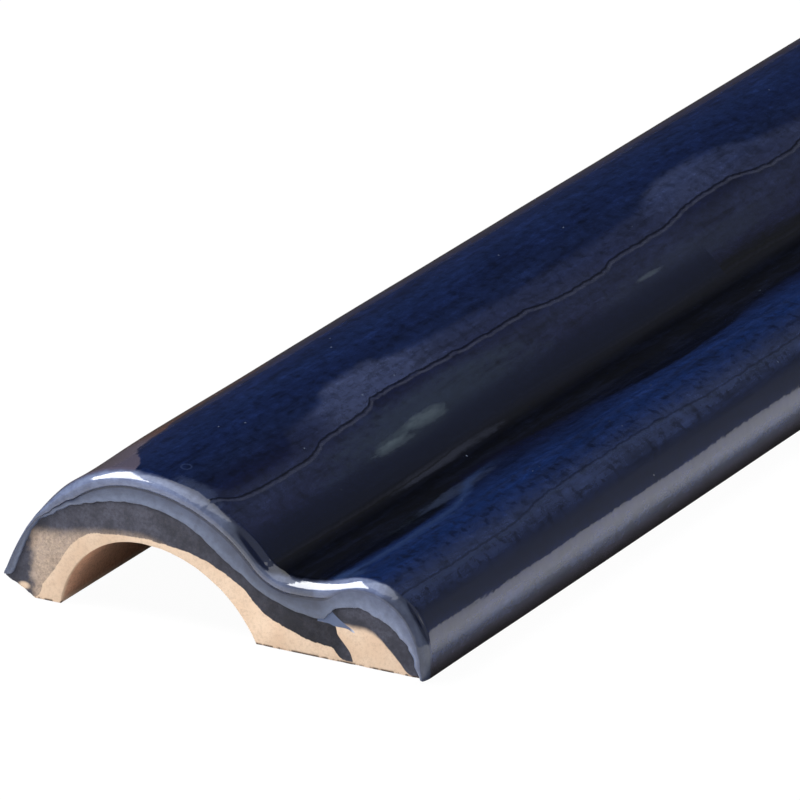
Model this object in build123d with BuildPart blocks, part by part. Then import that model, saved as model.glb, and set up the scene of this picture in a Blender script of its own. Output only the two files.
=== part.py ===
"""Chair rail tile: a pressed and fired clay bar with an ogee face, a glazed front and a hollow back."""
import os
from math import asin, atan2, cos, degrees, hypot, radians, sin

from build123d import *

os.makedirs("parts", exist_ok=True)

# Stock size: X runs across the tile, Y along it and Z up from the wall side to the crest.
tile_width = 50.0
tile_length = 200.0
tile_height = 16.3

# Large roll: its crest lies this far in from the free edge, and its rear turns this many degrees.
crest_inset = 16.0
roll_rear_radius = 13.5
roll_rear_sweep = 46.0

# Cove between the roll and the bead, measured in from the straight edge and down from the bead.
cove_inset = 15.6
cove_depth = 1.35
cove_steep_radius = 4.8

# Small bead along the straight edge.
bead_height = 9.5
bead_radius = 7.2

# Lip of glaze along the free edge, and the bevel under it.
lip_height = 2.0
lip_radius = 1.6
bevel_width = 3.8

# Narrow foot, hollow back and wide foot, with the wall left over the hollow.
narrow_foot_width = 3.4
wide_foot_width = 20.0
hollow_crest_inset = 9.3
crest_wall = 7.9

# Softened edges: the glaze rolls over each end, and both feet are eased along the hollow.
end_roll_radius = 1.5
foot_edge_radius = 0.6

half_width = tile_width / 2
half_length = tile_length / 2


def level_arc_radius(run, drop):
    """Radius of an arc that starts level and falls by drop over run, or both radii of such an S."""
    return (run**2 + drop**2) / (2 * drop)


def level_arc_sweep(run, drop):
    """Degrees that the same arc, or each half of the same S, turns through."""
    return 2 * degrees(atan2(drop, run))


# Roll to cove and cove to bead: each is an S of two arcs, level at both ends.
crest = Vector(crest_inset - half_width, tile_height)
cove = Vector(half_width - cove_inset, bead_height - cove_depth)
roll_run = cove.X - crest.X
roll_drop = crest.Y - cove.Y
roll_front_radius = level_arc_radius(roll_run, roll_drop) - cove_steep_radius
roll_front_sweep = level_arc_sweep(roll_run, roll_drop)
bead_run = cove_inset - bead_radius
cove_shallow_radius = level_arc_radius(bead_run, cove_depth) - bead_radius
bead_rise = level_arc_sweep(bead_run, cove_depth)

# Flank: one arc that touches both the rear of the roll and the lip.
roll_centre = crest - Vector(0, roll_rear_radius)
lip_centre = Vector(lip_radius - half_width, lip_height)
flank_top = Vector(-sin(radians(roll_rear_sweep)), cos(radians(roll_rear_sweep)))
lip_gap = roll_centre - lip_centre
lip_reach = lip_gap.dot(flank_top) + roll_rear_radius
flank_power = lip_gap.dot(lip_gap) + roll_rear_radius * (2 * lip_reach - roll_rear_radius) - lip_radius**2
flank_radius = flank_power / (2 * (lip_reach - lip_radius))
flank_centre = roll_centre + flank_top * (roll_rear_radius - flank_radius)
flank_slope = degrees(atan2(flank_centre.X - lip_centre.X, lip_centre.Y - flank_centre.Y))

# Bevel: it leaves the lip on a tangent and ends at the narrow foot.
bevel_run = bevel_width - lip_radius
bevel_slope = degrees(atan2(lip_height, bevel_run) - asin(lip_radius / hypot(bevel_run, lip_height)))
narrow_foot_x = bevel_width - half_width

# Hollow: two arcs that meet level at its crest.
hollow_rear_x = narrow_foot_x + narrow_foot_width
hollow_front_x = half_width - wide_foot_width
hollow_crest = Vector(hollow_rear_x + hollow_crest_inset, tile_height - crest_wall)
hollow_front_run = hollow_front_x - hollow_crest.X
hollow_rear_radius = level_arc_radius(hollow_crest_inset, hollow_crest.Y)
hollow_rear_sweep = level_arc_sweep(hollow_crest_inset, hollow_crest.Y)
hollow_front_radius = level_arc_radius(hollow_front_run, hollow_crest.Y)
hollow_front_sweep = level_arc_sweep(hollow_front_run, hollow_crest.Y)

with BuildPart() as chair_rail_tile:
    with BuildSketch(Plane.XZ):
        with BuildLine():
            rear = JernArc(crest, (-1, 0), roll_rear_radius, roll_rear_sweep)
            flank = JernArc(rear @ 1, rear % 1, flank_radius, flank_slope - roll_rear_sweep)
            lip = JernArc(flank @ 1, flank % 1, lip_radius, 180 - flank_slope - bevel_slope)
            front = JernArc(crest, (1, 0), roll_front_radius, -roll_front_sweep)
            steep = JernArc(front @ 1, front % 1, cove_steep_radius, roll_front_sweep)
            shallow = JernArc(steep @ 1, (1, 0), cove_shallow_radius, bead_rise)
            bead = JernArc(shallow @ 1, shallow % 1, bead_radius, -90 - bead_rise)
            Polyline(bead @ 1, (half_width, 0), (narrow_foot_x, 0), lip @ 1)
        make_face()
    extrude(amount=half_length, both=True)

    # The glaze rolls over both ends, from the straight edge round to the narrow foot.
    end_edges = edges().filter_by(Plane.XZ)
    fillet(end_edges - end_edges.group_by(Axis.Z)[0], end_roll_radius)

    with BuildSketch(Plane.XZ):
        with BuildLine():
            rear_arc = JernArc(hollow_crest, (-1, 0), hollow_rear_radius, hollow_rear_sweep)
            front_arc = JernArc(hollow_crest, (1, 0), hollow_front_radius, -hollow_front_sweep)
            Line(rear_arc @ 1, front_arc @ 1)
        make_face()
    extrude(amount=half_length, both=True, mode=Mode.SUBTRACT)

    # Both feet are eased along the mouth of the hollow.
    foot_edges = edges().filter_by(Axis.Y).group_by(Axis.Z)[0].sort_by(Axis.X)
    fillet(foot_edges[1:3], foot_edge_radius)

chair_rail_tile.part.label = "chair_rail_tile"
export_step(chair_rail_tile.part, "parts/chair_rail_tile.step")
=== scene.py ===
from math import asin, atan2, ceil, cos, exp, hypot, pi, radians, sin

import bmesh
import bpy
from bpy.props import FloatProperty, FloatVectorProperty, PointerProperty
from mathutils import Matrix, Vector, noise


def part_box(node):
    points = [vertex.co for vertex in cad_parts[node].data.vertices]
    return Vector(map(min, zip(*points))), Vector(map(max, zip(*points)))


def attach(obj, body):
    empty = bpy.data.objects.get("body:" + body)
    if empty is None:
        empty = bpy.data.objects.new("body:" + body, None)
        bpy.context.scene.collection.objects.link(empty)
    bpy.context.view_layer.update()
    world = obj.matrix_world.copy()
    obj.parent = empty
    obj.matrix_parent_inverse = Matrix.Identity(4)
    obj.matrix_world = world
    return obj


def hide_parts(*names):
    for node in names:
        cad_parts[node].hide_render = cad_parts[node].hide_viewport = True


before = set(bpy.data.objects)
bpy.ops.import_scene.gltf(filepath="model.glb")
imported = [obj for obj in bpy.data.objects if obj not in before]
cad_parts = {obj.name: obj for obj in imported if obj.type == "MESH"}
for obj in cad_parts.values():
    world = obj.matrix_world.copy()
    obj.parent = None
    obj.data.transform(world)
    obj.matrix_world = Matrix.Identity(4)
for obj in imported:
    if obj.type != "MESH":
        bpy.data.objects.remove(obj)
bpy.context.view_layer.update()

bl_info = {
    "name": "Chair rail tile",
    "version": (1, 0, 0),
    "blender": (4, 5, 0),
    "location": "View3D > Sidebar > Tile",
    "description": "Makes a glazed chair rail tile with an ogee face, rolled ends and a hollow back",
    "category": "Add Mesh",
}

TILE_NODE = "chair_rail_tile"
TILE_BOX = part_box(TILE_NODE)

# Length of the face round the section, and half the length of the tile, in mm.
FACE_LENGTH = 70.6
HALF_LENGTH = 100.0
# Depth of the glaze's edge below the face, at places along the face from the narrow foot, on each end, in mm.
NEAR_EDGE = (
    (0, 0.9), (4, 1), (7, 1.1), (9, 0.95), (11.5, 0.74), (13, 0.75), (14, 1.1), (15, 1.5), (17, 2), (19, 2.65),
    (21, 3.1), (23, 3.35), (25, 3.55), (35, 3.62), (37, 3.78), (39, 4), (41, 4), (43, 3.8), (45, 3.25), (47, 3.15),
    (49, 3.7), (50.6, 4), (51.4, 3.95), (52, 3.4), (52.6, 2.9), (53.6, 2.85), (55, 3), (57, 3.3), (59, 3.55),
    (61, 3.45), (63, 3.15), (65, 2.85), (67, 2.1), (69, 1.5), (FACE_LENGTH, 0.9),
)
FAR_EDGE = (
    (0, 0.9), (4, 1.1), (8, 1.3), (12, 1.9), (17, 2.6), (23, 3), (29, 2.7), (35, 3.3), (41, 3), (45, 2.5), (49, 3.3),
    (53, 3.9), (57, 3.2), (61, 2.7), (65, 2), (FACE_LENGTH, 0.95),
)
# Where the glaze starts on the lip, in mm along the face from the narrow foot.
GLAZE_STARTS = 4.2
# How much higher the underside of the lip is worn at an end: place along the face and rise, in mm.
LIP_WEAR = ((0, 0), (0.7, 0.3), (1.4, 0.62), (2.5, 0.95), (3.3, 0.95), (4.2, 0.6), (5, 0.12), (5.6, 0))
# Dents in the near rim: middle and span along the face, and depth, in mm. The first two also get painted shade.
DENTS = ((43.5, 2.6, 0.26), (64.2, 2, 0.24), (34.6, 0.3, 0.1))
# Rows of the glaze over the roll of an end, and from its crease to its edge.
ROLL_ROWS = 18
BAND_ROWS = 7


def length(name, description, millimetres):
    """A length property, given in millimetres and kept in metres."""
    return FloatProperty(name=name, description=description, default=millimetres / 1000, unit="LENGTH", precision=5)


def turn(name, description, degrees):
    """An angle property, given in degrees."""
    return FloatProperty(name=name, description=description, default=radians(degrees), subtype="ANGLE")


def colour(name, description, red, green, blue):
    """A colour property."""
    return FloatVectorProperty(
        name=name, description=description, default=(red, green, blue), subtype="COLOR", min=0, max=1
    )


class SectionSizes(bpy.types.PropertyGroup):
    """Sizes of the tile's section."""

    crest_inset: length("Crest inset", "From the free edge in to the crest of the large roll", 16)
    rear_radius: length("Roll rear radius", "Radius of the roll behind its crest", 13.5)
    rear_sweep: turn("Roll rear sweep", "Angle that the roll turns behind its crest", 46)
    cove_inset: length("Cove inset", "From the straight edge in to the lowest line of the cove", 15.6)
    cove_depth: length("Cove depth", "From the top of the bead down to the cove", 1.35)
    steep_radius: length("Cove radius", "Radius of the cove's steep side", 4.8)
    bead_height: length("Bead height", "Height of the small bead", 9.5)
    bead_radius: length("Bead radius", "Radius of the small bead", 7.2)
    lip_height: length("Lip height", "Height of the lip's centre along the free edge", 2)
    lip_radius: length("Lip radius", "Radius of the lip", 1.6)
    bevel_width: length("Bevel width", "From the free edge in to the narrow foot", 3.8)
    narrow_foot: length("Narrow foot", "Width of the narrow foot", 3)
    wide_foot: length("Wide foot", "Width of the wide foot", 20)
    hollow_inset: length("Hollow crest inset", "From the narrow foot to the hollow's crest", 9.7)
    crest_wall: length("Wall over the hollow", "From the roll's crest down to the hollow's crest", 7.9)
    foot_edge: length("Foot edge", "Radius along the feet, on the side of the hollow", 0.6)


class ClaySizes(bpy.types.PropertyGroup):
    """Sizes and colours of the fired clay."""

    under_glaze: length("Under the glaze", "How far the clay lies under the face of the glaze", 0.35)
    end_recess: length("End recess", "How far the bare ends lie inside the glazed rims", 0.5)
    arris: length("Worn arris", "Width of the wear along the clay's edges", 0.1)
    clay: colour("Clay", "Fired clay", 0.535, 0.402, 0.287)
    stain: colour("Stain", "Clay stained by the glaze", 0.03, 0.03, 0.039)
    # Painted shade: the darker brown given to the clay inside the hollow.
    hollow: colour("Hollow", "Clay inside the hollow", 0.46, 0.22, 0.125)


class GlazeSizes(bpy.types.PropertyGroup):
    """Sizes and colours of the glaze."""

    buried: length("Buried face", "Depth of the glaze's hidden inner face", 0.62)
    rim_depth: length("Rim depth", "Depth below the face of the rolled rim's outermost line", 1)
    rim_reach: length("Rim reach", "How far the rim rolls along the tile", 1.5)
    wave: length("Wave", "Height of the waves in the glaze", 0.1)
    deep: colour("Deep glaze", "Glaze where it lies thick", 0.003, 0.006, 0.022)
    bright: colour("Bright glaze", "Cobalt streaks in the glaze", 0.006, 0.016, 0.07)


class StageSizes(bpy.types.PropertyGroup):
    """Camera and lights."""

    azimuth: turn("Azimuth", "How far the camera stands round from the near end", 29.3)
    elevation: turn("Elevation", "How far the camera looks down", 20.55)
    distance: length("Distance", "From the base of the near end to the camera, along its line of sight", 1087.189)
    across: length("Across", "How far the view's middle lies right of the near end's middle", 19.2307)
    above: length("Above", "How far the view's middle lies above the near end's middle", 24.1404)
    lens: FloatProperty(name="Lens", description="Focal length in mm, for a 36 mm sensor", default=480.69)
    floor: colour("Floor", "Pale floor", 0.86, 0.86, 0.86)


def mm(metres):
    """Metres to millimetres."""
    return metres * 1000


def smooth(low, high, value):
    """A smooth step from 0 at low to 1 at high."""
    t = min(max((value - low) / (high - low), 0), 1)
    return t * t * (3 - 2 * t)


def along(points, place):
    """A smooth curve through (place, value) points."""
    for (a, low), (b, high) in zip(points, points[1:]):
        if place <= b:
            return low + (high - low) * smooth(a, b, place)
    return points[-1][1]


def level_radius(run, drop):
    """Radius of an arc that starts level and falls by drop over run, or both radii of such an S."""
    return (run**2 + drop**2) / (2 * drop)


def level_sweep(run, drop):
    """Angle that the same arc, or each half of the same S, turns through."""
    return 2 * atan2(drop, run)


def face_arcs(size):
    """The face in mm, from the lip to the bead: centre, radius, and the tilt of its normal at each end."""
    half = mm(TILE_BOX[1][0])
    height = mm(TILE_BOX[1][2])
    crest = Vector((mm(size.crest_inset) - half, height))
    cove = Vector((half - mm(size.cove_inset), mm(size.bead_height - size.cove_depth)))
    steep = mm(size.steep_radius)
    front = level_radius(cove.x - crest.x, crest.y - cove.y) - steep
    front_sweep = level_sweep(cove.x - crest.x, crest.y - cove.y)
    bead = mm(size.bead_radius)
    bead_run = mm(size.cove_inset) - bead
    shallow = level_radius(bead_run, mm(size.cove_depth)) - bead
    rise = level_sweep(bead_run, mm(size.cove_depth))
    rear = mm(size.rear_radius)
    rear_centre = crest - Vector((0, rear))
    lip = mm(size.lip_radius)
    lip_centre = Vector((lip - half, mm(size.lip_height)))
    up = Vector((-sin(size.rear_sweep), cos(size.rear_sweep)))
    gap = rear_centre - lip_centre
    reach = gap.dot(up) + rear
    power = gap.dot(gap) + rear * (2 * reach - rear) - lip**2
    flank = power / (2 * (reach - lip))
    flank_centre = rear_centre + up * (rear - flank)
    flank_tilt = atan2(flank_centre.x - lip_centre.x, lip_centre.y - flank_centre.y)
    bevel_run = mm(size.bevel_width) - lip
    bevel_tilt = atan2(lip_centre.y, bevel_run) - asin(lip / hypot(bevel_run, lip_centre.y))
    front_centre = crest - Vector((0, front))
    steep_centre = front_centre + (front + steep) * Vector((sin(front_sweep), cos(front_sweep)))
    return [
        (lip_centre, lip, bevel_tilt - pi, -flank_tilt),
        (flank_centre, flank, -flank_tilt, -size.rear_sweep),
        (rear_centre, rear, -size.rear_sweep, 0),
        (front_centre, front, 0, front_sweep),
        (steep_centre, -steep, front_sweep, 0),
        (cove + Vector((0, shallow)), -shallow, 0, -rise),
        (Vector((half - bead, mm(size.bead_height) - bead)), bead, -rise, pi / 2),
    ]


def run_to(bm, vert, x, z, spacing):
    """Draws a straight run of edges from a vertex in equal steps, and returns its end."""
    gap = Vector((x, 0, z)) - vert.co
    steps = ceil(gap.length / spacing)
    for _ in range(steps):
        vert = bmesh.ops.extrude_vert_indiv(bm, verts=[vert])["verts"][0]
        bmesh.ops.translate(bm, verts=[vert], vec=gap / steps)
    return vert


def arc_to(bm, vert, centre, angle, spacing):
    """Turns a vertex round a centre in small steps, drawing an arc of edges, and returns its end."""
    steps = max(4, round((vert.co - centre).length * abs(angle) / spacing))
    step = Matrix.Rotation(angle / steps, 3, "Y")
    for _ in range(steps):
        vert = bmesh.ops.extrude_vert_indiv(bm, verts=[vert])["verts"][0]
        bmesh.ops.rotate(bm, verts=[vert], cent=centre, matrix=step)
    return vert


def draw_face(bm, size, spacing):
    """Draws the face as a chain of edges, from the narrow foot over the roll and the bead to the base."""
    half = mm(TILE_BOX[1][0])
    first = bm.verts.new((mm(size.bevel_width) - half, 0, 0))
    arcs = face_arcs(size)
    centre, radius, tilt, _ = arcs[0]
    end = run_to(bm, first, centre.x + radius * sin(tilt), centre.y + radius * cos(tilt), spacing)
    for centre, radius, start_tilt, end_tilt in arcs:
        end = arc_to(bm, end, Vector((centre.x, 0, centre.y)), end_tilt - start_tilt, spacing)
    end = run_to(bm, end, half, 0, spacing)
    return first, end


def walk(first):
    """The vertices of a chain of edges, in order from its first."""
    chain = [first]
    edge = first.link_edges[0]
    while edge:
        chain.append(edge.other_vert(chain[-1]))
        edge = next((e for e in chain[-1].link_edges if e is not edge), None)
    return chain


def columns_of(chain):
    """For each vertex of the face: its place, its outward normal, and how far along the face it lies."""
    columns = []
    travelled = 0
    for i, vert in enumerate(chain):
        before = chain[max(i - 1, 0)].co
        after = chain[min(i + 1, len(chain) - 1)].co
        run = (after - before).normalized()
        if i:
            travelled += (vert.co - before).length
        columns.append((vert.co.copy(), Vector((-run.z, 0, run.x)), travelled))
    return columns


def lay_row(bm, edges, column, place):
    """Extrudes a row of edges, and puts each new vertex where place says for its column."""
    made = bmesh.ops.extrude_edge_only(bm, edges=edges)["geom"]
    fresh = {v for v in made if isinstance(v, bmesh.types.BMVert)}
    for vert in fresh:
        vert.co = place(vert[column])
    return [e for e in made if isinstance(e, bmesh.types.BMEdge) and e.verts[0] in fresh and e.verts[1] in fresh]


def ripple(place, y, across, lengthwise, seed):
    """A wave from -1 to 1 on the face, longer along the tile than across it."""
    return noise.noise(Vector((place / across, y / lengthwise, seed)))


def face_depth(place, y, wave):
    """How far the glaze's face dips below the section, in mm. Near the ends it sags behind the roll."""
    sag = 0.28 * exp(-(((place - 21) / 4.5) ** 2) - ((HALF_LENGTH - abs(y) - 6) / 6) ** 2)
    slow = 0.5 + 0.5 * ripple(place, y, 9, 26, 3.1)
    quick = 0.5 + 0.5 * ripple(place, y, 3.2, 9, 7.7)
    return wave * (0.75 * slow + 0.35 * quick) + sag


def lip_wear(place, y):
    """How much higher the underside of the lip is worn near an end, in mm."""
    return along(LIP_WEAR, place) * (1 - smooth(0.6, 4.0, mm(TILE_BOX[1][1]) - abs(y)))


def end_rows(edge_depth, rim_depth, rim_reach, crease):
    """Rows over an end, from the face to the glaze's edge: depth below the face, distance in from the end, and
    how far over the end the row lies, from 0 on the face to 1 at the crease and 2 at the edge."""
    rim = min(rim_depth, 0.4 * edge_depth)
    whole = radians(90 + 58 * crease)
    rows = []
    for i in range(1, ROLL_ROWS + 1):
        turned = whole * i / ROLL_ROWS
        if turned < pi / 2:
            depth, inwards = rim * (1 - cos(turned) ** 1.4), rim_reach * (1 - sin(turned) ** 1.4)
        else:
            depth, inwards = rim * (1 - cos(turned)), 0.85 * rim * (1 - sin(turned))
        rows.append((depth, max(inwards, 0), i / ROLL_ROWS))
    crease_depth, fall, _ = rows[-1]
    for i in range(1, BAND_ROWS + 1):
        t = i / BAND_ROWS
        depth = crease_depth + (edge_depth - crease_depth) * t
        rows.append((depth, max(fall + (0.38 - fall) * t - 0.1 * sin(pi * t), 0.01), 1 + t))
    rows.append((edge_depth + 0.05, 0.5, 2.1))
    rows.append((edge_depth - 0.02, 0.9, 2.2))
    return rows


def stations(start, end, fine, coarse, grow):
    """Distances from start to end, whose steps grow from fine to coarse and shrink again."""
    near = [start]
    step = fine
    while near[-1] + step < (start + end) / 2:
        near.append(near[-1] + step)
        step = min(step * grow, coarse)
    far = [start + end - y for y in reversed(near)]
    return near + far


def finish_piece(bm, name, material):
    """Turns a bmesh in mm into a smooth-shaded piece that rides on the tile, and hides the tile's solid."""
    bmesh.ops.scale(bm, vec=(0.001, 0.001, 0.001), verts=bm.verts)
    mesh = bpy.data.meshes.new(name)
    bm.to_mesh(mesh)
    bm.free()
    piece = bpy.data.objects.new(name, mesh)
    bpy.context.scene.collection.objects.link(piece)
    mesh.materials.append(material)
    mesh.shade_smooth()
    mesh.set_sharp_from_angle(angle=radians(38))
    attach(piece, "root")
    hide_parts(TILE_NODE)


class Nodes:
    """Adds and links the nodes of one material or world."""

    def __init__(self, owner):
        owner.use_nodes = True
        self.owner = owner
        self.tree = owner.node_tree
        self.shader = self.tree.nodes.get("Principled BSDF")

    def add(self, kind, inputs=None, **settings):
        """Adds a node, sets it up, and feeds its inputs with values or other nodes' outputs."""
        node = self.tree.nodes.new(kind)
        for key, value in settings.items():
            setattr(node, key, value)
        for key, value in (inputs or {}).items():
            self.feed(node.inputs[key], value)
        return node

    def feed(self, socket, value):
        """Links an output to a socket, or sets the socket's own value."""
        if isinstance(value, bpy.types.NodeSocket):
            self.tree.links.new(value, socket)
        else:
            socket.default_value = value

    def math(self, operation, first, *others):
        """A Math node's result, or that of a chain of them when there are more than two values."""
        for other in others or (None,):
            node = self.add("ShaderNodeMath", {0: first}, operation=operation)
            if other is not None:
                self.feed(node.inputs[1], other)
            first = node.outputs[0]
        return first

    def plus(self, *values):
        """The sum of two or more values."""
        return self.math("ADD", *values)

    def minus(self, first, second):
        """The difference of two values."""
        return self.math("SUBTRACT", first, second)

    def times(self, *values):
        """The product of two or more values."""
        return self.math("MULTIPLY", *values)

    def most(self, *values):
        """The largest of two or more values."""
        return self.math("MAXIMUM", *values)

    def abs(self, value):
        """A value without its sign."""
        return self.math("ABSOLUTE", value)

    def about(self, value, size):
        """A noise turned into an offset round nought."""
        return self.times(self.minus(value, 0.5), size)

    def oval(self, *spans):
        """The square of how far a place lies out from an oval's middle, 1 on its edge: (value, middle, half) spans."""
        squares = []
        for value, middle, half in spans:
            share = self.math("DIVIDE", self.minus(value, middle), half)
            squares.append(self.math("POWER", self.abs(share), 2.0))
        return self.plus(*squares)

    def ramp(self, low, high, value, to_low=0, to_high=1):
        """A smooth step of a value between low and high."""
        node = self.add("ShaderNodeMapRange", interpolation_type="SMOOTHSTEP")
        for socket, given in zip(node.inputs, (value, low, high, to_low, to_high)):
            self.feed(socket, given)
        return node.outputs[0]

    def mix(self, factor, first, second, blend="MIX"):
        """A mix of two colours."""
        node = self.add("ShaderNodeMix", data_type="RGBA", blend_type=blend)
        for socket, value in ((node.inputs[0], factor), (node.inputs[6], first), (node.inputs[7], second)):
            if isinstance(value, (bpy.types.NodeSocket, int, float)):
                self.feed(socket, value)
            else:
                socket.default_value = (*value[:3], 1)
        return node.outputs[2]

    def millimetres(self):
        """The place on the piece, in mm."""
        return self.stretched(self.add("ShaderNodeTexCoord").outputs["Object"], 1000, 1000, 1000)

    def stretched(self, place, x, y, z):
        """A place stretched by a factor along each axis."""
        return self.add("ShaderNodeVectorMath", {0: place, 1: (x, y, z)}, operation="MULTIPLY").outputs[0]

    def noise(self, place, scale, detail, roughness):
        """Noise round 0.5."""
        node = self.add(
            "ShaderNodeTexNoise", {"Vector": place, "Scale": scale, "Detail": detail, "Roughness": roughness}
        )
        return node.outputs["Fac"]

    def bump(self, height, strength, depth):
        """Gives the shader small bumps, whose full height is a depth in mm."""
        node = self.add("ShaderNodeBump", {"Height": height, "Strength": strength, "Distance": depth / 1000})
        self.feed(self.shader.inputs["Normal"], node.outputs[0])

    def curve(self, value, points):
        """A curve through (place, value) points."""
        node = self.add("ShaderNodeFloatCurve")
        line = node.mapping.curves[0]
        low, high = points[0][0], points[-1][0]
        floor = min(y for _, y in points)
        ceiling = max(y for _, y in points)
        spots = [((x - low) / (high - low), (y - floor) / (ceiling - floor)) for x, y in points]
        line.points[0].location = spots[0]
        line.points[1].location = spots[-1]
        for x, y in spots[1:-1]:
            line.points.new(x, y)
        node.mapping.update()
        self.feed(node.inputs["Value"], self.math("DIVIDE", self.minus(value, low), high - low))
        return self.plus(self.times(node.outputs[0], ceiling - floor), floor)

    def tones(self, value, whole, points):
        """Colours along a value from 0 to whole, by (place, colour) points."""
        node = self.add("ShaderNodeValToRGB", {0: self.math("DIVIDE", value, whole)})
        stops = node.color_ramp.elements
        while len(stops) < len(points):
            stops.new(0.5)
        for stop, (spot, _) in zip(stops, points):
            stop.position = spot / whole
        for stop, (_, tone) in zip(stops, points):
            stop.color = (*tone, 1)
        return node.outputs[0]


def shaded(tone, *shares):
    """A colour times one share, or times a share each for red, green and blue."""
    return [part * share for part, share in zip(tone, shares * 3)]


# Lower edge of the stain on an end: across the tile and up from the base, in mm.
STAIN_EDGE = (
    (-25, 0.2), (-21.2, 0.2), (-20.3, 1.7), (-19.4, 2.9), (-18.2, 4.65), (-17.5, 5.85), (-16.6, 6.95), (-15.3, 8),
    (-14.3, 8.45), (-12, 8.75), (-8.4, 9), (-4.9, 8.75), (-2, 8.3), (0.8, 7.3), (2.2, 6.56), (3.5, 5.82), (4.8, 4.57),
    (6.2, 3.45), (7.8, 2.76), (9.7, 2.12), (11.6, 1.61), (13.7, 1.41), (14.5, 0.81), (15.4, 0.25), (16.2, 0.28),
    (16.5, 0.6), (17, 6), (25, 6),
)
# Height above which the stain is solid. Under it the stain thins out.
STAIN_SOLID = (
    (-25, 4), (-22.5, 7.8), (-20.6, 8.3), (-18, 8.5), (-16.2, 8.9), (-12, 9.6), (-8.4, 9.8), (-4.9, 9), (-2, 8.1),
    (0.8, 6.9), (3.5, 5.3), (6.2, 2.9), (9.7, 1.5), (13.7, 0.8), (25, -1),
)
# Upper edge of the run at the stain's right end.
RUN_TOP = (
    (12, 9), (12.5, 4.1), (13.4, 4.05), (14.3, 3.8), (14.5, 3.05), (14.75, 2.7), (15.3, 2.1), (16, 1.24),
    (16.25, 0.6), (16.5, 0.1), (25, 0),
)
# Tongue of glaze between the run and the second patch of stain: its lower and upper edge.
TONGUE_LOW = ((12, 4), (13.4, 3.99), (14.4, 3.79), (15.3, 3.8), (16.1, 3.6), (16.6, 3.5), (25, 3.5))
TONGUE_TOP = ((12, 7), (13, 6.2), (13.7, 5.5), (14.8, 4.62), (15.6, 4.15), (16.4, 3.72), (16.7, 3.3), (25, 0))
# Lower edge of the second patch of stain, and how softly it ends there.
PATCH_EDGE = (
    (12, 6.8), (13, 6), (13.7, 5.25), (14.8, 4.3), (15.6, 3.85), (16.2, 3.7), (16.9, 3.7), (18, 3.7), (19.3, 3.26),
    (20.6, 2.27), (21.7, 1.23), (22.5, 0.39), (23.2, 0), (25, -0.8),
)
PATCH_SOFT = ((12, 0.1), (14.6, 0.15), (16.4, 0.8), (18.4, 0.7), (20.5, 0.25), (25, 0.12))
# How pale the stain is, across the tile.
STAIN_TONE = (
    (-25, 1.1), (-20, 1.35), (-12, 1.35), (-5, 1.1), (3, 0.9), (9, 0.6), (13.5, 0.5), (15.5, 1.1), (25, 1.4),
)
# Where the run and the second patch of stain start, across the tile, in mm.
RUN_STARTS = 12.2
# The spot on the lip that stays bare: its middle and half its size, first across the tile and then up, in mm.
BARE_SPOT = ((-22.5, 0.6), (1.2, 0.35))
# The tongue of glaze, and the painted highlight on its tip.
TONGUE, TONGUE_TIP_HIGHLIGHT = (0.075, 0.093, 0.147), (0.33, 0.36, 0.42)


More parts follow.
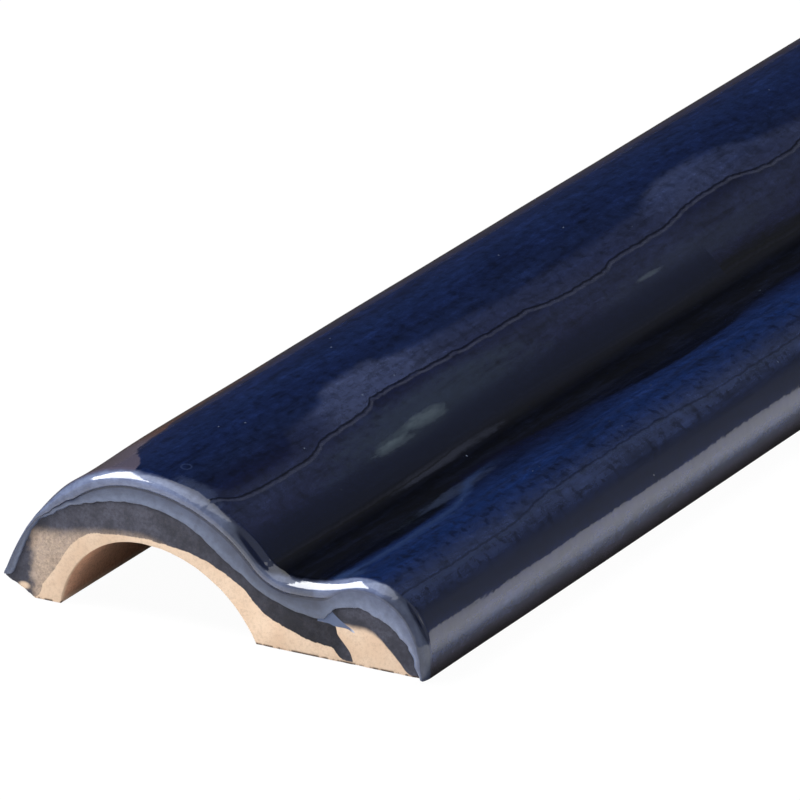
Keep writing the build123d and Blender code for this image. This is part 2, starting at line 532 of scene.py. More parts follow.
def clay_material(colours):
    """Fired clay: a fine grain, painted shade inside the hollow as darker brown clay, painted contact shade and dirt
    along the base of the end, and stained where the glaze ran over the end.
    """
    n = Nodes(bpy.data.materials.new("fired_clay"))
    place = n.millimetres()
    x, y, z = n.add("ShaderNodeSeparateXYZ", {0: place}).outputs
    grain = n.noise(place, 3.2, 3, 0.75)
    specks = n.noise(place, 1.7, 5, 0.85)
    cloud = n.noise(place, 0.22, 3, 0.5)
    wander = n.about(n.noise(place, 1.3, 4, 0.7), 0.4)
    dust = n.about(n.noise(place, 2.6, 4, 0.85), 1.9)
    clay, stain, brown = colours.clay, colours.stain, colours.hollow

    def above(points):
        """How far a place on an end lies above a line, in mm."""
        return n.minus(z, n.curve(x, points))

    base = n.mix(n.ramp(0.35, 0.7, cloud), shaded(clay, 1.04), shaded(clay, 0.95, 0.9, 0.86))
    base = n.mix(n.ramp(0.42, 0.7, grain, 0, 0.4), base, shaded(clay, 0.62))
    base = n.mix(n.ramp(0.62, 0.8, specks, 0, 0.5), base, shaded(clay, 1.15))

    # The stain: solid higher up and on the lip, and thin and dusty lower down.
    right = n.math("GREATER_THAN", x, RUN_STARTS)
    lip = n.times(n.ramp(-20, -22.2, n.plus(x, n.times(wander, 6))), n.ramp(9.5, 7, z))
    thick = n.most(n.ramp(-1.6, 0.1, above(STAIN_SOLID), 0.48, 1), lip)
    thick = n.plus(thick, n.times(dust, n.minus(1.05, thick)))
    inside = n.ramp(-0.06, 0.06, n.plus(above(STAIN_EDGE), wander))
    main = n.times(inside, n.most(n.minus(1, right), n.ramp(0.06, -0.06, above(RUN_TOP))), thick)
    bare = n.oval((x, *BARE_SPOT[0]), (z, *BARE_SPOT[1]))
    main = n.times(main, n.ramp(0, 2.2, n.plus(bare, n.times(wander, 2))))
    patch = n.math("DIVIDE", n.plus(above(PATCH_EDGE), n.times(wander, 0.4)), n.curve(x, PATCH_SOFT))
    stained = n.most(main, n.times(n.ramp(0, 1, patch), right))
    on_end = n.ramp(98.9, 99.2, n.abs(y))
    dark = n.mix(n.ramp(0.35, 0.7, n.noise(place, 0.45, 4, 0.7)), shaded(stain, 0.75), shaded(stain, 1.45))
    dark = n.mix(n.ramp(0.4, 0.7, grain, 0, 0.6), dark, shaded(stain, 0.55))
    dark = n.mix(1, dark, n.curve(x, STAIN_TONE), "MULTIPLY")
    base = n.mix(n.times(stained, on_end), base, dark)
    tongue = n.times(n.ramp(-0.05, 0.05, above(TONGUE_LOW)), n.ramp(0.05, -0.05, above(TONGUE_TOP)), right, on_end)
    # The tongue's glaze colour, with a painted highlight at its tip.
    base = n.mix(tongue, base, n.mix(n.ramp(15.9, 16.4, x), TONGUE, TONGUE_TIP_HIGHLIGHT))

    # Painted shade: the clay inside the hollow is made darker and browner. Along the base of the end, a dark line
    # painted as contact shade and dirt.
    hollow = n.times(n.ramp(99.35, 98.6, n.abs(y)), n.ramp(0.1, 0.7, z))
    base = n.mix(n.times(hollow, 0.75), base, n.mix(n.ramp(0.4, 0.65, grain), brown, shaded(brown, 0.6)))
    # Painted contact shade, with dirt: darker along the very base of each end.
    gritty = n.noise(n.stretched(place, 1, 1, 0), 0.7, 3, 0.7)
    base_shade_and_dirt = n.times(n.ramp(0.34, 0.1, z), n.ramp(0.38, 0.52, gritty))
    base = n.mix(n.times(base_shade_and_dirt, on_end), base, (0.05, 0.03, 0.02))
    n.feed(n.shader.inputs["Base Color"], base)
    n.shader.inputs["Roughness"].default_value = 0.85
    n.shader.inputs["Specular IOR Level"].default_value = 0.2
    n.bump(n.plus(n.times(grain, 0.6), n.times(specks, 0.5)), 0.4, 0.12)
    return n.owner


# Glaze tones along the face, from the narrow foot to the base of the straight edge: place in mm and colour.
# The near black stops in the cove are painted shade, over glaze pooled there.
TONES = (
    (0, (0.010, 0.012, 0.026)), (9, (0.007, 0.011, 0.03)), (20, (0.004, 0.0075, 0.026)),
    (24, (0.0034, 0.0073, 0.031)), (27, (0.0032, 0.0077, 0.031)), (30, (0.0028, 0.0064, 0.027)),
    (33, (0.0038, 0.0074, 0.026)), (36.5, (0.0014, 0.0026, 0.0155)), (39, (0.0092, 0.0125, 0.033)),
    (43, (0.007, 0.009, 0.031)), (44.4, (0.0003, 0.0004, 0.003)), (46.8, (0.0003, 0.0004, 0.0022)),
    (49.5, (0.0003, 0.0006, 0.0056)), (52, (0.0022, 0.0042, 0.0158)), (53.8, (0.0028, 0.0076, 0.032)),
    (57, (0.0017, 0.0072, 0.034)), (59.5, (0.009, 0.0145, 0.041)), (61.5, (0.0145, 0.0215, 0.054)),
    (65.6, (0.002, 0.006, 0.035)), (66.2, (0.002, 0.005, 0.045)), (68.2, (0.026, 0.037, 0.088)),
    (69.4, (0.026, 0.022, 0.034)), (FACE_LENGTH, (0.02, 0.015, 0.012)),
)
# Lines along the tile: distance from the near end, and place along the face, in mm.
RIDGE = (
    (0, 36), (2, 36.5), (8, 38), (15, 38.2), (20, 37.9), (24, 37.1), (29, 37), (33, 36.8), (36, 36), (43, 36.2),
    (50, 36.5), (58, 36.8), (66, 36.9), (71, 37.5), (82, 37.8), (86, 37.2), (95, 37.2), (102, 36.6), (112, 36.2),
    (124, 37.4), (136, 36.6), (150, 37.6), (166, 36.5), (182, 37.3), (200, 36.6),
)
COVE_RIDGE = (
    (0, 45), (10, 45.3), (22, 45.4), (34, 45.2), (45, 44.8), (60, 44.7), (80, 45), (100, 44.8), (125, 45.2),
    (150, 44.8), (175, 45.2), (200, 44.9),
)
BEAD_RIDGE = (
    (0, 60.6), (8, 61), (20, 61.1), (30, 60.4), (40, 60.2), (50, 60.2), (60, 60.5), (75, 61), (100, 61), (125, 60.4),
    (150, 61), (175, 60.3), (200, 60.8),
)
# Upper edge of the grey painted reflection over the ridge, lower edges of the brown thin glaze and of the pooled glaze
# with painted shade in the cove, and the painted highlight along the bottom of the cove.
GREY_REFLECTION_EDGE = (
    (0, 32), (3, 33.5), (6, 36.8), (14, 37), (20, 34), (27, 33.4), (30, 32.4), (34, 31.6), (40, 31.7), (43, 32.6),
    (49, 33.1), (56, 33.6), (75, 34.3), (92, 34), (99, 33.3), (103, 32), (112, 31.4), (124, 33.4), (138, 34.6),
    (152, 32.4), (168, 31.8), (184, 34.2), (200, 33),
)
BROWN_EDGE = (
    (0, 27.6), (1.6, 27.2), (4.9, 25.2), (7, 24), (10.4, 22.9), (14, 22.8), (17, 22), (36, 21.8), (42, 19.5),
    (200, 19),
)
COVE_EDGE = (
    (0, 52), (5, 52.6), (12, 53), (20, 53), (25, 52.3), (29, 50.4), (34, 49.3), (40, 49.1), (46, 49.6), (53, 50.4),
    (60, 51.5), (68, 53), (76, 53.7), (84, 53.4), (92, 52.3), (102, 51.2), (116, 52.6), (130, 51.2), (146, 53.2),
    (162, 51.6), (180, 52.8), (200, 51),
)
COVE_SHINE = ((0, 53.2), (4, 53.7), (10, 54.3), (20, 54.3), (26, 53.4), (31, 51.6), (36, 50.4), (200, 50))
# How strong the grey painted reflection is, along the tile.
GREY_REFLECTION_STRENGTH = (
    (0, 0.35), (8, 0.18), (19, 0.2), (28, 0.8), (36, 0.92), (46, 0.75), (56, 0.38), (94, 0.32), (106, 0.65),
    (124, 0.4), (150, 0.8), (200, 0.6),
)
# The ring in the glaze behind the near rim: its middle, along the face and from the near end, and its radius.
RING_FACE, RING_END, RING_RADIUS = 31.1, 4.8, 0.5
# Painted reflections, as pale and grey patches on the face: place along it and from the near end, half width and half
# length, colour, and how strong.
REFLECTION_PATCHES = (
    (41.2, 41, 3.4, 22, (0.016, 0.024, 0.036), 0.6), (41.6, 97, 1.7, 22, (0.014, 0.019, 0.032), 0.5),
    (41.9, 34, 1.2, 8, (0.032, 0.044, 0.056), 0.75), (41.9, 31.2, 0.6, 4.2, (0.085, 0.11, 0.125), 0.9),
    (41.2, 38.6, 0.8, 4.2, (0.06, 0.078, 0.092), 0.85), (46, 36, 0.6, 12, (0.016, 0.018, 0.028), 0.8),
    (51, 30, 0.9, 8, (0.012, 0.017, 0.034), 0.7), (34.6, 1.6, 3, 1.4, (0.03, 0.04, 0.075), 0.5),
    (54, 2.4, 1.6, 2.2, (0.016, 0.03, 0.075), 0.6), (41, 88, 0.3, 3, (0.06, 0.075, 0.09), 0.6),
)
# Glaze tones over an end, from the face (0) by the crease (1) to the glaze's edge (2). The band is paler partly from
# thinner glaze and partly as painted reflection, and the dark stops round the crease are painted shade.
RIM_TONES = (
    (0, (0.03, 0.036, 0.065)), (0.2, (0.05, 0.06, 0.1)), (0.32, (0.08, 0.096, 0.15)), (0.6, (0.074, 0.09, 0.15)),
    (0.84, (0.06, 0.074, 0.128)), (0.96, (0.036, 0.044, 0.08)), (1.08, (0.03, 0.038, 0.07)),
    (1.28, (0.039, 0.049, 0.086)), (1.5, (0.046, 0.058, 0.097)), (1.75, (0.066, 0.083, 0.135)),
    (1.92, (0.067, 0.084, 0.134)), (2.05, (0.05, 0.058, 0.09)),
)
# How much the rolled part of the near rim is lightened or darkened along the face: painted highlight where the window's
# highlights fall, and painted shade by the dents and the cove.
RIM_PAINTED_LIGHT = (
    (0, 0.9), (20, 1.05), (27, 1.3), (32, 1.15), (36, 0.8), (39, 0.62), (42, 0.32), (45, 0.42), (47, 0.75), (49, 0.5),
    (51, 0.8), (53, 1.2), (57, 1.2), (59, 1.1), (61.5, 0.42), (65, 0.45), (FACE_LENGTH, 0.55),
)
# The same painted light and shade for the band between the crease and the glaze's edge.
BAND_PAINTED_LIGHT = (
    (0, 1), (35, 0.98), (40, 0.88), (45, 0.76), (50, 0.65), (52, 0.9), (55, 1.2), (60, 1.3), (FACE_LENGTH, 1.15),
)


def glaze_material(colours):
    """Navy glaze: tones by how thick it lies with painted shade in the cove, painted reflections, streaks along the
    tile, ridges with painted shade and highlights, pinholes, and rims paler partly as painted reflection.
    """
    n = Nodes(bpy.data.materials.new("navy_glaze"))
    place = n.millimetres()
    y = n.add("ShaderNodeSeparateXYZ", {0: place}).outputs["Y"]
    from_end = n.plus(y, HALF_LENGTH)
    face = n.add("ShaderNodeAttribute", attribute_name="along_face").outputs["Fac"]
    over = n.add("ShaderNodeAttribute", attribute_name="over_end").outputs["Fac"]

    def drawn(across, lengthwise, seed, detail=4, roughness=0.6):
        """Noise on the face, drawn out along the tile."""
        spot = n.add("ShaderNodeCombineXYZ", {0: n.times(face, across), 1: n.times(y, lengthwise), 2: seed})
        return n.noise(spot.outputs[0], 1, detail, roughness)

    def under(points):
        """How far a place lies past a line along the tile, in mm across the face."""
        return n.minus(face, n.curve(from_end, points))

    def band(start, full, fading, end):
        """1 across a band of the face, fading out on both sides."""
        return n.times(n.ramp(start, full, face), n.ramp(end, fading, face))

    def line(gap, edge, solid=0):
        """1 on a line, where a gap is nought, fading out to its edge on both sides."""
        return n.ramp(edge, solid, n.abs(gap))

    broad = drawn(0.22, 0.03, 0)
    streaks = drawn(0.75, 0.09, 3, 5, 0.62)
    fine = drawn(2, 0.5, 6, 4, 0.7)
    mottle = drawn(0.85, 0.75, 9, 3, 0.55)
    blotch = drawn(1.1, 0.42, 18, 3, 0.6)
    sway = n.times(n.plus(n.about(streaks, 2.2), n.about(fine, 1)), n.ramp(66.5, 62, face, 0.12, 1))
    ragged = n.plus(n.about(streaks, 1.6), n.about(fine, 1.4))
    base = n.tones(n.plus(face, sway), FACE_LENGTH, TONES)

    # The grey painted reflection over the ridge, painted shade on the glaze pooled in the cove, and cobalt and dark
    # blots on the bead.
    grey_reflection = n.times(n.ramp(-0.6, 0.8, n.plus(under(GREY_REFLECTION_EDGE), ragged)), n.ramp(0.2, -0.1, under(RIDGE)))
    grey_reflection = n.times(grey_reflection, n.curve(from_end, GREY_REFLECTION_STRENGTH), n.ramp(0.3, 0.65, streaks, 0.65, 1))
    base = n.mix(grey_reflection, base, (0.028, 0.036, 0.075))
    # Painted shade in the cove, over the glaze pooled there.
    deep = n.times(n.ramp(0.4, -0.6, n.plus(under(COVE_EDGE), ragged)), n.ramp(45.6, 47.6, n.plus(face, ragged)))
    base = n.mix(deep, base, n.mix(n.ramp(0.45, 0.7, streaks), (0.0004, 0.0006, 0.002), (0.0022, 0.0032, 0.009)))
    base = n.mix(n.times(n.ramp(0.46, 0.64, fine), band(52.5, 55, 59.6, 60.4), 0.45), base, colours.bright)
    blots = n.times(n.ramp(0.54, 0.64, mottle), n.most(band(55, 57.5, 59, 60.2), band(61, 61.8, 62.8, 64.2)))
    base = n.mix(n.times(blots, 0.6), base, colours.deep)
    for low, high, value, tone in (
        (0.52, 0.7, streaks, 0.6), (0.48, 0.32, streaks, 1.4), (0.53, 0.7, fine, 0.68), (0.47, 0.3, fine, 1.35),
        (0.52, 0.66, mottle, 0.75), (0.47, 0.34, mottle, 1.15), (0.53, 0.66, blotch, 0.72),
        (0.47, 0.35, blotch, 1.2), (0.52, 0.68, broad, 0.75),
    ):
        base = n.mix(n.ramp(low, high, value), base, n.mix(1, base, (tone, tone, tone), "MULTIPLY"))
    # Painted reflections in soft, streaky patches.
    for middle, spot, half_width, half_length, tone, strength in REFLECTION_PATCHES:
        reach = n.oval((face, middle, half_width), (from_end, spot, half_length))
        reach = n.plus(reach, n.about(streaks, 2.4), n.about(fine, 2.4))
        base = n.mix(n.times(n.ramp(1.5, 0, reach), strength), base, tone)

    # Ridges: a bump with a painted shade line and a painted highlight next to it. The one in the cove runs double, with
    # a second painted shade line.
    height = n.times(drawn(0.5, 0.04, 12, 2, 0.5), 1.2)
    wobble = drawn(0.1, 0.5, 15)
    for points, shade_tone, highlight_tone, strength in (
        (RIDGE, (0.0008, 0.001, 0.0025), (0.045, 0.05, 0.075), 0.85),
        (COVE_RIDGE, (0.0002, 0.0002, 0.0006), (0.006, 0.006, 0.011), 1),
        (BEAD_RIDGE, (0.002, 0.003, 0.008), (0.02, 0.03, 0.06), 0.6),
    ):
        gap = n.plus(under(points), n.about(wobble, 0.7))
        base = n.mix(n.times(line(gap, 0.18, 0.03), strength), base, shade_tone)
        pale = n.times(line(n.minus(gap, 0.36), 0.26, 0.06), 0.6 * strength, n.ramp(0.35, 0.6, fine, 0.5, 1))
        base = n.mix(pale, base, highlight_tone)
        height = n.plus(height, n.times(line(n.minus(gap, 0.12), 0.4), strength))
    second = n.plus(n.minus(under(COVE_RIDGE), 0.6), n.about(wobble, 0.5))
    base = n.mix(n.times(line(second, 0.16, 0.03), 0.8), base, (0.0003, 0.0003, 0.001))
    # Painted highlight along the bottom of the cove, fading away from the near end.
    shine = n.plus(under(COVE_SHINE), n.about(fine, 1.6), n.about(streaks, 1))
    shine = n.times(line(shine, 1), n.ramp(44, 28, from_end))
    base = n.mix(n.times(shine, 0.6), base, (0.013, 0.026, 0.072))
    ring = n.math("SQRT", n.oval((face, RING_FACE, 1), (from_end, RING_END, 1.3)))
    base = n.mix(n.times(line(n.minus(ring, RING_RADIUS), 0.16), 0.45), base, (0.022, 0.034, 0.08))
    brown = n.times(n.ramp(0.15, -0.15, n.plus(under(BROWN_EDGE), ragged)), n.ramp(40, 6, from_end, 0.4, 0.95))
    thin = n.mix(n.ramp(9, 15, from_end), (0.052, 0.044, 0.062), (0.05, 0.024, 0.02))
    base = n.mix(brown, base, thin)

    # Pinholes in some of the cells of a Voronoi pattern.
    cells = n.add("ShaderNodeTexVoronoi", {"Vector": place, "Scale": 0.62, "Randomness": 1})
    chosen = n.add("ShaderNodeSeparateColor", {0: cells.outputs["Color"]}).outputs[0]
    hole = n.ramp(0.02, -0.02, n.minus(cells.outputs["Distance"], n.ramp(0.8, 1, chosen, -0.03, 0.075)))
    base = n.mix(n.times(hole, n.ramp(0.3, 0, over), 0.8), base, (0.09, 0.11, 0.15))

    # The rims: paler, partly as painted reflection, with a painted shade line along the crease of the rolled part and
    # painted shade in the dents.
    rim = n.mix(n.ramp(0.36, 0.64, n.noise(place, 1, 4, 0.7)), (0.78, 0.78, 0.81), (1.13, 1.13, 1.11))
    uneven = n.plus(over, n.about(n.noise(place, 2.2, 3, 0.7), 0.12))
    rim = n.mix(1, n.tones(uneven, 2.2, RIM_TONES), rim, "MULTIPLY")
    light = n.mix(n.ramp(0.95, 1.15, over), n.curve(face, RIM_PAINTED_LIGHT), n.curve(face, BAND_PAINTED_LIGHT))
    rim = n.mix(1, rim, light, "MULTIPLY")
    crease = n.times(line(n.minus(over, 1.03), 0.11, 0.02), band(8, 14, 51.5, 53.5), 0.9)
    rim = n.mix(crease, rim, (0.008, 0.01, 0.024))
    base = n.mix(n.ramp(0.1, 0.3, n.plus(over, n.about(streaks, 0.2))), base, rim)
    # Painted shade in the first two dents.
    for middle, span, _ in DENTS[:2]:
        dent = n.ramp(1.3, 0.6, n.oval((face, middle, 1.25 * span), (over, 0.22, 0.26)))
        base = n.mix(n.times(dent, n.math("LESS_THAN", y, 0), 0.95), base, (0.002, 0.004, 0.016))
    n.feed(n.shader.inputs["Base Color"], base)
    n.shader.inputs["IOR"].default_value = 1.5
    n.feed(n.shader.inputs["Roughness"], n.ramp(0.8, 1.2, over, 0.06, 0.3))

    height = n.plus(height, n.plus(n.times(n.noise(place, 0.9, 2, 0.5), 0.5), n.times(fine, 0.12)))
    n.bump(n.minus(height, n.times(hole, 0.5)), 0.35, 0.1)
    return n.owner


class TILE_OT_clay_body(bpy.types.Operator):
    """Make the pressed clay body with its hollow back"""

    bl_idname = "tile.clay_body"
    bl_label = "Clay body"

    def execute(self, context):
        size = context.scene.tile_section
        clay = context.scene.tile_clay
        bm = bmesh.new()
        column = bm.verts.layers.int.new("column")
        spacing = 0.3
        first, end = draw_face(bm, size, spacing)
        inset = mm(clay.under_glaze)
        face = columns_of(walk(first))
        half = mm(TILE_BOX[1][0])
        rear = mm(size.bevel_width + size.narrow_foot) - half
        front = half - mm(size.wide_foot)
        crest = Vector((rear + mm(size.hollow_inset), mm(TILE_BOX[1][2] - size.crest_wall)))
        round_edge = mm(size.foot_edge)
        end = run_to(bm, end, front + round_edge, 0, 0.6)
        end = run_to(bm, end, front, 0, round_edge)
        for corner in (front, rear):
            run = abs(corner - crest.x)
            centre = Vector((crest.x, 0, crest.y - level_radius(run, crest.y)))
            end = arc_to(bm, end, centre, -level_sweep(run, crest.y), spacing * 1.3)
        end = run_to(bm, end, rear - round_edge, 0, round_edge)
        end = run_to(bm, end, first.co.x + 0.3, 0, 0.5)
        bm.edges.new((end, first))
        half_length = mm(TILE_BOX[1][1]) - mm(clay.end_recess)
        for index, vert in enumerate(bm.verts):
            vert[column] = index
            vert.co.y = -half_length
        points = [v.co.copy() for v in bm.verts]

        def place_at(y):
            """Where the vertices of a row lie: under the glaze, deeper under its rims, and worn along the lip's end."""
            from_end = half_length - abs(y)
            edge = NEAR_EDGE if y < 0 else FAR_EDGE

            def place(i):
                point = points[i].copy()
                point.y = y
                if i < len(face):
                    _, normal, spot = face[i]
                    deeper = max(0, min(0.95, 0.45 * along(edge, spot)) - inset) * (1 - smooth(0.6, 2.4, from_end))
                    point -= normal * (inset + deeper) * smooth(GLAZE_STARTS - 0.8, GLAZE_STARTS + 1.4, spot)
                    point.z += lip_wear(spot, y)
                elif point.z > 0.01:
                    point.z += 0.06 * ripple(point.x + point.z, y, 6, 14, 1.3)
                point.z = max(point.z, 0)
                return point
            return place

        row = list(bm.edges)
        for vert in bm.verts:
            vert.co = place_at(-half_length)(vert[column])
        for y in stations(-half_length, half_length, 0.35, 4.0, 1.3)[1:]:
            row = lay_row(bm, row, column, place_at(y))
        for vert in bm.verts:
            if abs(vert.co.y) > half_length - 0.05:
                chip = ripple(vert.co.x, vert.co.y, 1.3, 1, 2.2) + 0.5 * ripple(vert.co.x, vert.co.y, 0.5, 1, 4.2)
                if vert.co.z < 0.01:
                    vert.co.z = max(0, 0.1 * chip - 0.02)
                elif points[vert[column]].z < crest.y + 0.01 and rear - 0.1 < vert.co.x < front + 0.1:
                    vert.co.z += 0.05 * chip
        bmesh.ops.holes_fill(bm, edges=[e for e in bm.edges if e.is_boundary], sides=0)
        bmesh.ops.recalc_face_normals(bm, faces=bm.faces)
        arrises = [e for e in bm.edges if e.is_manifold and e.calc_face_angle(0) > radians(60)]
        ends = [e for e in arrises if abs(e.verts[0].co.y - e.verts[1].co.y) < 0.01]
        bmesh.ops.bevel(
            bm, geom=ends, offset=mm(clay.arris), affect="EDGES", segments=2, profile=0.5, material=-1
        )
        for vert in bm.verts:
            vert.co.z = max(vert.co.z, 0)
            vert.co.x = max(vert.co.x, 0.01 - half)
        finish_piece(bm, "clay_body", clay_material(clay))
        return {"FINISHED"}


class TILE_OT_glaze_coat(bpy.types.Operator):
    """Make the coat of glaze over the face and round both ends"""

    bl_idname = "tile.glaze_coat"
    bl_label = "Glaze coat"

    def execute(self, context):
        size = context.scene.tile_section
        glaze = context.scene.tile_glaze
        bm = bmesh.new()
        column = bm.verts.layers.int.new("column")
        along_face = bm.verts.layers.float.new("along_face")
        over_end = bm.verts.layers.float.new("over_end")
        first, _ = draw_face(bm, size, 0.25)
        chain = walk(first)
        columns = columns_of(chain)
        half_length = mm(TILE_BOX[1][1])
        rim_depth = mm(glaze.rim_depth)
        reach = mm(glaze.rim_reach)
        wave = mm(glaze.wave)
        for index, vert in enumerate(chain):
            vert[column] = index
            vert[along_face] = columns[index][2]
        ends = {}
        for side, edge in ((-1, NEAR_EDGE), (1, FAR_EDGE)):
            ends[side] = []
            for _, _, place in columns:
                ragged = 0.07 * ripple(place, 0, 1.3, 1, 5.5 + side) + 0.05 * ripple(place, 0, 0.5, 1, 9.5 + side)
                crease = smooth(8, 14, place) * (1 - smooth(51.5, 54, place))
                ends[side].append(end_rows(along(edge, place) + ragged, rim_depth, reach, crease))

        def at(index, depth, y):
            """Where a vertex lies at a depth below the face, and deeper where the lip has no glaze."""
            point, normal, place = columns[index]
            spot = point - normal * (depth + 0.55 * (1 - smooth(GLAZE_STARTS - 0.5, GLAZE_STARTS + 0.5, place)))
            return Vector((spot.x, y, max(spot.z + lip_wear(place, y), 0)))

        def buried(side):
            """Places of the hidden row inside an end."""
            return lambda i: at(i, mm(glaze.buried), side * (half_length - 1.2))

        def over(side, k):
            """Places of a row over an end."""
            def place(i):
                depth, inwards, turned = ends[side][i][k]
                spot = columns[i][2]
                shared = face_depth(spot, side * (half_length - reach), wave) * max(0, 1 - 1.8 * turned)
                dent = 0
                if side < 0:
                    for middle, span, deep in DENTS:
                        dent += deep * exp(-(((spot - middle) / span) ** 2) - ((turned - 0.27) / 0.13) ** 2)
                back = 0.95 * (1 - smooth(GLAZE_STARTS - 0.3, GLAZE_STARTS + 0.7, spot))
                return at(i, depth + shared + dent, side * (half_length - inwards - dent - back))
            return place

        def face(y):
            """Places of a row across the face."""
            return lambda i: at(i, face_depth(columns[i][2], y, wave), y)

        count = len(ends[-1][0])
        rows = [(buried(-1), 3.0)]
        rows += [(over(-1, k), ends[-1][0][k][2]) for k in reversed(range(count))]
        rows += [(face(y), 0.0) for y in stations(reach - half_length, half_length - reach, 0.3, 1.35, 1.12)]
        rows += [(over(1, k), ends[1][0][k][2]) for k in range(count)]
        rows += [(buried(1), 3.0)]
        row = first_row = list(bm.edges)
        for vert in chain:
            vert.co = rows[0][0](vert[column])
            vert[over_end] = rows[0][1]
        for place, reached in rows[1:]:
            row = lay_row(bm, row, column, place)
            for edge in row:
                for vert in edge.verts:
                    vert[over_end] = reached
        bmesh.ops.bridge_loops(bm, edges=first_row + row)
        bmesh.ops.holes_fill(bm, edges=[e for e in bm.edges if e.is_boundary], sides=0)
        bmesh.ops.recalc_face_normals(bm, faces=bm.faces)
        finish_piece(bm, "glaze_coat", glaze_material(glaze))
        return {"FINISHED"}


# How far the floor reaches each way, and how far it lies under the feet, so that the faces don't flicker, in m.
FLOOR_REACH, FLOOR_DROP = 6, 0.00002
# Lights, and how far they stand from the near end: direction, width and height in m, and brightness.
LIGHT_DISTANCE = 1.6
LIGHTS = (
    ("window", (-0.66, -0.2, 0.72), 1.15, 0.85, 17.5),
    ("ceiling", (-0.05, -0.05, 1), 1.3, 1.3, 1.9),
)


class TILE_OT_stage(bpy.types.Operator):
    """Lay the pale floor, and set up the studio light and the camera"""

    bl_idname = "tile.stage"
    bl_label = "Stage"

    def execute(self, context):
        stage = context.scene.tile_stage
        scene = context.scene
        bm = bmesh.new()
        bmesh.ops.create_grid(bm, x_segments=2, y_segments=2, size=FLOOR_REACH)
        mesh = bpy.data.meshes.new("floor")
        bm.to_mesh(mesh)
        bm.free()
        floor = bpy.data.objects.new("floor", mesh)
        scene.collection.objects.link(floor)
        floor.location.z = -FLOOR_DROP
        mesh.materials.append(floor_material(stage))

        near_end = Vector((0, TILE_BOX[0][1], 0))
        right = Vector((cos(stage.azimuth), sin(stage.azimuth), 0))
        back = Vector((
            sin(stage.azimuth) * cos(stage.elevation),
            -cos(stage.azimuth) * cos(stage.elevation),
            sin(stage.elevation),
        ))
        up = back.cross(right)
        camera = bpy.data.objects.new("camera", bpy.data.cameras.new("camera"))
        camera.data.lens = stage.lens
        camera.data.sensor_width = 36
        camera.data.clip_end = 50
        axes = Matrix((right, up, back)).transposed().to_4x4()
        eye = near_end + right * stage.across + up * stage.above + back * stage.distance
        camera.matrix_world = Matrix.Translation(eye) @ axes
        scene.collection.objects.link(camera)
        scene.camera = camera

        for name, direction, wide, high, glow in LIGHTS:
            direction = Vector(direction).normalized()
            lamp = bpy.data.lights.new(name, "AREA")
            lamp.shape = "RECTANGLE"
            lamp.size = wide
            lamp.size_y = high
            lamp.energy = glow * pi * wide * high
            light = bpy.data.objects.new(name, lamp)
            facing = direction.to_track_quat("Z", "Y").to_matrix().to_4x4()
            light.matrix_world = Matrix.Translation(near_end + direction * LIGHT_DISTANCE) @ facing
            scene.collection.objects.link(light)

        scene.world = studio_world()
        scene.view_settings.view_transform = "Standard"
        return {"FINISHED"}


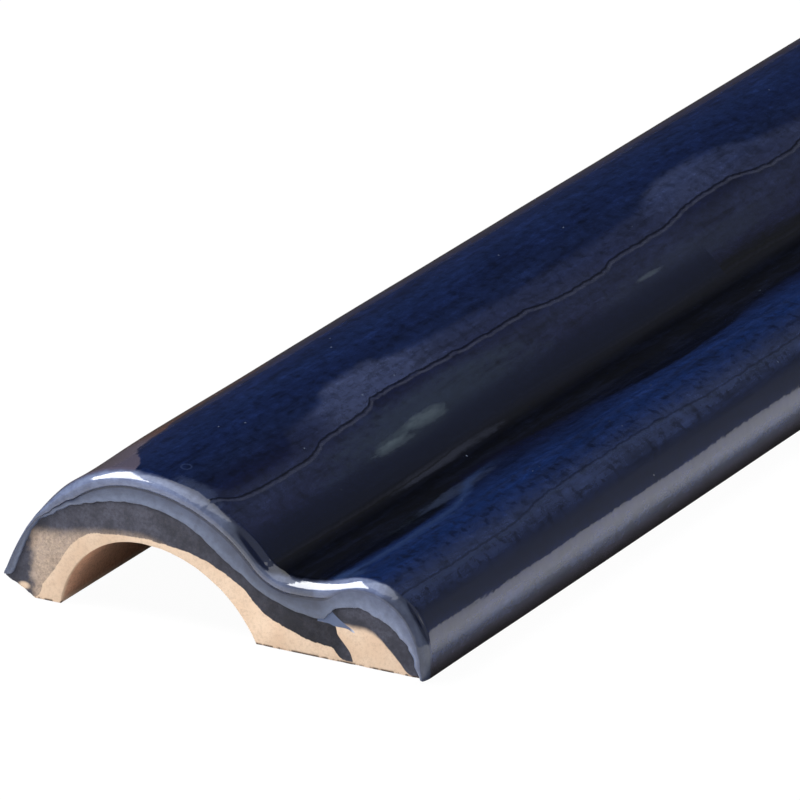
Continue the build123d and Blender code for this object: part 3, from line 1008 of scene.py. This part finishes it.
def floor_material(stage):
    """Pale paper that stays pale to the camera, with dark sheets that paint shade under the tile and a shadow along its
    right side, and, for reflections only, a dark patch behind it on the left.
    """
    n = Nodes(bpy.data.materials.new("floor_paper"))
    x, y, _ = n.add("ShaderNodeSeparateXYZ", {0: n.millimetres()}).outputs
    rays = n.add("ShaderNodeLightPath").outputs
    # Painted shade and shadow, seen by bounced and reflected light and barely by the camera: under the tile to shade
    # the hollow, next to the right side as its contact shadow, and behind on the left for reflections only.
    under = n.times(n.ramp(23, 19, n.abs(x)), n.ramp(99, 95, n.abs(y)))
    behind = n.times(n.ramp(-20, -25, x), n.ramp(-101, -97, y), rays["Is Glossy Ray"])
    side_shadow_sheet = n.times(n.ramp(29.3, 25, x, 0, 0.86), n.math("GREATER_THAN", x, 24), n.ramp(104, 98, n.abs(y)))
    dark = n.most(under, behind, side_shadow_sheet)
    n.feed(n.shader.inputs["Base Color"], n.mix(dark, stage.floor, (0.03, 0.025, 0.02)))
    n.shader.inputs["Roughness"].default_value = 0.9
    n.shader.inputs["Specular IOR Level"].default_value = 0
    glow = n.add("ShaderNodeEmission", {"Color": (1, 1, 1, 1), "Strength": 1})
    share = n.times(rays["Is Camera Ray"], 0.97)
    seen = n.add("ShaderNodeMixShader", {0: share, 1: n.shader.outputs[0], 2: glow.outputs[0]})
    n.tree.links.new(seen.outputs[0], n.tree.nodes["Material Output"].inputs["Surface"])
    return n.owner


# Brightness of the room behind the tile, by the angle round from the right over the top: degrees and brightness.
ROOM = (
    (0, 0.36), (12, 0.33), (28, 0.3), (47, 0.15), (66, 0.155), (83, 0.13), (98, 0.065), (112, 0.03), (130, 0.03),
    (180, 0.03),
)


def studio_world():
    """A soft studio: brighter in front of the tile, and dark behind it on the left."""
    n = Nodes(bpy.data.worlds.new("studio"))
    x, y, z = n.add("ShaderNodeSeparateXYZ", {0: n.add("ShaderNodeTexCoord").outputs["Generated"]}).outputs
    behind = n.tones(n.math("ARCTAN2", z, x), pi, [(radians(turned), [glow] * 3) for turned, glow in ROOM])
    strength = n.add("ShaderNodeMix", {0: n.ramp(0.35, -0.25, y), 2: behind, 3: 0.75}, data_type="FLOAT")
    background = n.tree.nodes["Background"]
    n.feed(background.inputs["Color"], (0.87, 0.94, 1.1, 1))
    n.feed(background.inputs["Strength"], strength.outputs[0])
    return n.owner


class TILE_PT_panel(bpy.types.Panel):
    """The tile's operators"""

    bl_idname = "TILE_PT_panel"
    bl_label = "Chair rail tile"
    bl_space_type = "VIEW_3D"
    bl_region_type = "UI"
    bl_category = "Tile"

    def draw(self, context):
        for operator in OPERATORS:
            self.layout.operator(operator.bl_idname)


GROUPS = {"tile_section": SectionSizes, "tile_clay": ClaySizes, "tile_glaze": GlazeSizes, "tile_stage": StageSizes}
OPERATORS = (TILE_OT_clay_body, TILE_OT_glaze_coat, TILE_OT_stage)


def register():
    for group in (*GROUPS.values(), *OPERATORS, TILE_PT_panel):
        bpy.utils.register_class(group)
    for name, group in GROUPS.items():
        setattr(bpy.types.Scene, name, PointerProperty(type=group))


def unregister():
    for name in GROUPS:
        delattr(bpy.types.Scene, name)
    for group in reversed((*GROUPS.values(), *OPERATORS, TILE_PT_panel)):
        bpy.utils.unregister_class(group)


def main():
    register()
    bpy.ops.tile.clay_body()
    bpy.ops.tile.glaze_coat()
    bpy.ops.tile.stage()
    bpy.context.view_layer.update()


if __name__ == "__main__":
    main()
